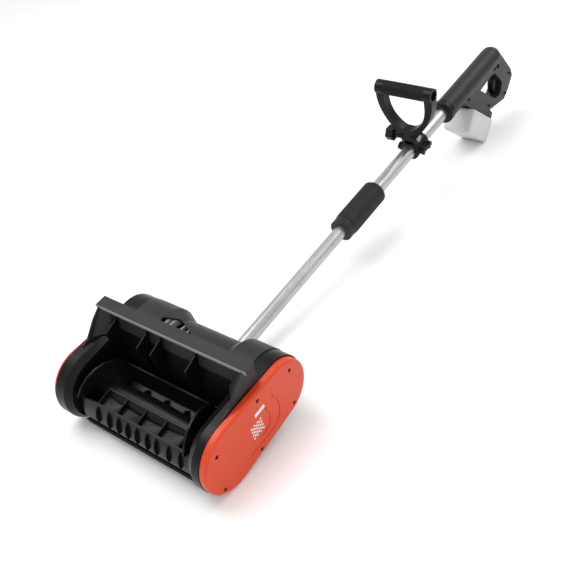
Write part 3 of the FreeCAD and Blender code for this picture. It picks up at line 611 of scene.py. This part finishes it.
def addCoverMarks():
    look = coverLook
    shape = bmesh.new()
    for line in look["lines"]:
        ridge(shape, smoothPath(line, 6), look["lineWidth"], look["lineHeight"], look["face"] - 0.05)
    toPiece(shape, "coverRaisedLines", "scoop", orangeAbs)
    shape = bmesh.new()
    near, far = look["face"] + 0.01, look["face"] + look["inkThick"]
    middleY, middleZ = look["gridCentre"]
    half = look["gridSide"] / 2
    for row in range(-3, 4):
        for column in range(-3, 4):
            if (row + column) % 2 == 0:
                y, z = middleY + column * look["gridCell"], middleZ + row * look["gridCell"]
                block(shape, (near, y - half, z - half), (far, y + half, z + half))
    y0, z0, y1, z1 = look["bar"]
    block(shape, (near, y0, z0), (far, y1, z1))
    toPiece(shape, "coverPrint", "scoop", palePrint)


# painted highlight: a thin pale grey block along the visor's front edge, standing in for the light caught there
rimHighlightLook = {"half": 155.6, "y": (74.9, 76.3), "z": (94.6, 101.0), "radius": 0.5}


# a pale grey strip along the visor's front edge, which paints the highlight that edge catches
def addVisorHighlightStrip():
    look, shape = rimHighlightLook, bmesh.new()
    block(shape, (-look["half"], look["y"][0], look["z"][0]), (look["half"], look["y"][1], look["z"][1]))
    roundEdges(shape, look["radius"])
    toPiece(shape, "visorRim", "scoop", paleHighlightAndVentGrey)


gussetLook = {
    "across": [-80, -55, -34, -14, 6, 28, 47, 72, 96],
    "thick": 1.7,
    "outline": [
        (-37.5, 16), (-45, 12), (-50.5, 2), (-52, -10), (-49.5, -14), (-47.3, -14), (-46, -6), (-41.8, 6),
    ],
}


def addGussets():
    look = gussetLook
    for name, turn in (("paddleGussetsFront", 0.0), ("paddleGussetsRear", math.pi)):
        shape = bmesh.new()
        plate(shape, look["outline"], -look["thick"] / 2, look["thick"] / 2)
        roundEdges(shape, 0.35, 1)
        places = [(x, 0, 0) for x in look["across"]]
        repeatedAt(shape, places, [(turn, 0, 0)] * len(places), name, "auger", blackAbs)


screwNodes = ["cover_screws", "handle_screws", "clamp_screws", "rear_housing_screws", "socket_screws"]
screwLook = {"crossLong": 0.56, "crossWide": 0.17, "crossDeep": 0.55, "around": 24}


def separateSolids(node):
    # corners of each separate solid of a CAD part, in mm along the machine
    shape = bmesh.new()
    shape.from_mesh(frame["nodes"][node].data)
    bmesh.ops.remove_doubles(shape, verts=shape.verts, dist=meshLook["mergeM"])
    bmesh.ops.transform(shape, matrix=machineFrame.inverted(), verts=shape.verts)
    shape.verts.ensure_lookup_table()
    seen, solids = set(), []
    for start in shape.verts:
        if start.index in seen:
            continue
        seen.add(start.index)
        front, solid = [start], []
        while front:
            corner = front.pop()
            solid.append(corner.co.copy())
            for edge in corner.link_edges:
                other = edge.other_vert(corner)
                if other.index not in seen:
                    seen.add(other.index)
                    front.append(other)
        solids.append(solid)
    shape.free()
    return solids


def screwFacts(corners):
    # seat, outward direction, head radius and height, shank radius and length of one screw
    low = Vector([min(c[axis] for c in corners) for axis in range(3)])
    high = Vector([max(c[axis] for c in corners) for axis in range(3)])
    middle, span = (low + high) / 2, high - low
    axis = max(range(3), key=lambda index: span[index])
    others = [index for index in range(3) if index != axis]
    reach = {id(c): math.hypot(*[c[index] - middle[index] for index in others]) for c in corners}
    headRadius = max(reach.values())
    wide = [c[axis] for c in corners if reach[id(c)] > 0.93 * headRadius]
    sign = 1 if sum(wide) / len(wide) > middle[axis] else -1
    seat = min(wide) if sign > 0 else max(wide)
    tip = high[axis] if sign > 0 else low[axis]
    far = low[axis] if sign > 0 else high[axis]
    thin = [reach[id(c)] for c in corners if abs(c[axis] - far) < 0.05]
    place, outward = middle.copy(), Vector((0, 0, 0))
    place[axis], outward[axis] = seat, sign
    return place, outward, headRadius, abs(tip - seat), max(thin), abs(seat - far)


def crossScrew(shape, headRadius, headHeight, shankRadius, shankLength):
    # a pan head screw along +z, its seat at z = 0, with a cross recess
    look, around = screwLook, screwLook["around"]
    rings = [
        ringAt(shape, (0, 0, height), radius, around)
        for height, radius in (
            (-shankLength, shankRadius * 0.7),
            (-shankLength + 1, shankRadius),
            (0, shankRadius),
            (0, headRadius),
            (headHeight * 0.5, headRadius),
            (headHeight * 0.85, headRadius * 0.9),
            (headHeight, headRadius * 0.72),
        )
    ]
    for first, second in zip(rings, rings[1:]):
        joinRings(shape, first, second)
    shape.faces.new(rings[0][::-1])
    long, wide = look["crossLong"] * headRadius, look["crossWide"] * headRadius
    cross = [
        (long, -wide), (long, wide), (wide, wide), (wide, long), (-wide, long), (-wide, wide),
        (-long, wide), (-long, -wide), (-wide, -wide), (-wide, -long), (wide, -long), (wide, -wide),
    ]
    top = [shape.verts.new((x, y, headHeight)) for x, y in cross]
    floor = [shape.verts.new((x * 0.8, y * 0.8, headHeight * (1 - look["crossDeep"]))) for x, y in cross]
    joinRings(shape, top, floor)
    shape.faces.new(floor)
    rims = []
    for ring in (rings[-1], top):
        rims += [shape.edges.get((ring[step], ring[(step + 1) % len(ring)])) for step in range(len(ring))]
    bmesh.ops.bridge_loops(shape, edges=rims)


def addScrews():
    for node in screwNodes:
        facts = [screwFacts(corners) for corners in separateSolids(node)]
        shape = bmesh.new()
        crossScrew(shape, *facts[0][2:])
        places = [fact[0] for fact in facts]
        turns = [tuple(fact[1].to_track_quat("Z", "Y").to_euler()) for fact in facts]
        name = camelName(node)
        repeatedAt(shape, places, turns, name, nodeBody[node], materialOf(node), [node])
        print(name, len(facts), "screws")


sleeveLook = {
    "from": 536.0,
    "to": 640.0,
    "centre": (0.0, -59.5),
    "radius": 23.5,
    "ribs": 28,
    "rib": (1.5, 0.8),
}


def addSleeveRibs():
    # lengthwise grip ribs round the coupling sleeve
    look, shape = sleeveLook, bmesh.new()
    wide, high = look["rib"]
    block(shape, (-wide / 2, look["from"], -0.3), (wide / 2, look["to"], high))
    roundEdges(shape, 0.35, 1)
    places, turns = [], []
    for step in range(look["ribs"]):
        turn = 2 * math.pi * step / look["ribs"]
        x, z = look["centre"]
        places.append((x + look["radius"] * math.sin(turn), 0, z + look["radius"] * math.cos(turn)))
        turns.append((0, turn, 0))
    body = nodeBody["coupling_sleeve"]
    repeatedAt(shape, places, turns, "sleeveRibs", body, greyNylon)


gripLook = {
    "half": 45.0,
    "centre": (788.0, 77.7),
    "radius": 13.5,
    "sunk": 0.3,
    "ringStep": 5.0,
    "ringWide": 2.4,
    "ringHigh": 0.7,
}


def addGripRings():
    # raised rings round the front grip
    look, shape = gripLook, bmesh.new()
    half, outer = look["ringWide"] / 2, look["radius"] + look["ringHigh"]
    inner = look["radius"] - look["sunk"]
    steps = ((-half, inner), (-half * 0.6, outer), (half * 0.6, outer), (half, inner))
    rings = [ringAt(shape, (0, 0, along), radius, 40) for along, radius in steps]
    for first, second in zip(rings, rings[1:] + rings[:1]):
        joinRings(shape, first, second)
    count = int(2 * (look["half"] - 3) / look["ringStep"]) + 1
    start = -look["ringStep"] * (count - 1) / 2
    places = [(start + look["ringStep"] * step, *look["centre"]) for step in range(count)]
    turns = [(0, math.pi / 2, 0)] * count
    body, slotName = nodeBody["grip_sleeve"], nodeSlot["grip_sleeve"]
    repeatedAt(shape, places, turns, "gripRings", body, softGrip)


addSoftened()
addCoverMarks()
addVisorHighlightStrip()
addGussets()
addScrews()
addSleeveRibs()
addGripRings()


# A camera above and in front of the belt side, at the height of a person's view of the floor.
cameraLook = {
    "place": (0.76005, -1.07903, 0.94448),
    "right": (0.79138, 0.59872, -0.12434),
    "up": (-0.29042, 0.54699, 0.78506),
    "lensMm": 51.534,
}


def addCamera():
    camera = bpy.data.objects.new("camera", bpy.data.cameras.new("camera"))
    bpy.context.scene.collection.objects.link(camera)
    right, up = Vector(cameraLook["right"]).normalized(), Vector(cameraLook["up"]).normalized()
    back = right.cross(up)
    turn = Matrix((right, up, back)).transposed().to_4x4()
    camera.matrix_world = Matrix.Translation(cameraLook["place"]) @ turn
    camera.data.lens = cameraLook["lensMm"]
    camera.data.sensor_width = 36
    camera.data.clip_start = 0.01
    bpy.context.scene.camera = camera


floorLook = {"half": 6.0, "gap": 0.0005, "colour": "#f4f4f3", "colourDrift": "#f0f0ef"}


def addFloor():
    mesh = bpy.data.meshes.new("floor")
    half, height = floorLook["half"], -floorLook["gap"]
    corners = [(-half, -half, height), (half, -half, height), (half, half, height), (-half, half, height)]
    mesh.from_pydata(corners, [], [(0, 1, 2, 3)])
    floor = bpy.data.objects.new("floor", mesh)
    bpy.context.scene.collection.objects.link(floor)
    material, tree, shader = newMaterial("paintedFloor", {"Roughness": 0.7})
    place = addNode(tree, "ShaderNodeTexCoord").outputs["Object"]
    noise = addNode(tree, "ShaderNodeTexNoise", None, {"Vector": place, "Scale": 3.0}).outputs["Fac"]
    tone = twoTone(tree, noise, floorLook["colour"], floorLook["colourDrift"])
    tree.links.new(tone, shader.inputs["Base Color"])
    mesh.materials.append(material)


# key from above and behind the hood, a wide fill on the camera's side
lightLooks = {
    "keyLight": {"place": (-0.9, -0.6, 2.2), "aim": (0.0, -0.2, 0.1), "size": 1.6, "watts": 34},
    "fillLight": {"place": (1.9, -1.2, 1.3), "aim": (0.1, -0.4, 0.1), "size": 1.8, "watts": 11},
    "rimLight": {"place": (0.6, 1.9, 1.9), "aim": (0.0, 0.2, 0.1), "size": 1.4, "watts": 18},
}


def addLights():
    for name, look in lightLooks.items():
        data = bpy.data.lights.new(name, "AREA")
        data.energy, data.size = look["watts"], look["size"]
        lamp = bpy.data.objects.new(name, data)
        bpy.context.scene.collection.objects.link(lamp)
        lamp.location = look["place"]
        lamp.rotation_mode = "QUATERNION"
        lamp.rotation_quaternion = (Vector(look["aim"]) - Vector(look["place"])).to_track_quat("-Z", "Y")
    world = bpy.data.worlds.new("studio")
    world.use_nodes = True
    background = world.node_tree.nodes["Background"]
    background.inputs["Color"].default_value = linearColour("#ffffff")
    background.inputs["Strength"].default_value = 0.8
    bpy.context.scene.world = world
    bpy.context.scene.view_settings.view_transform = "Standard"


addCamera()
addFloor()
addLights()
print("stage set")
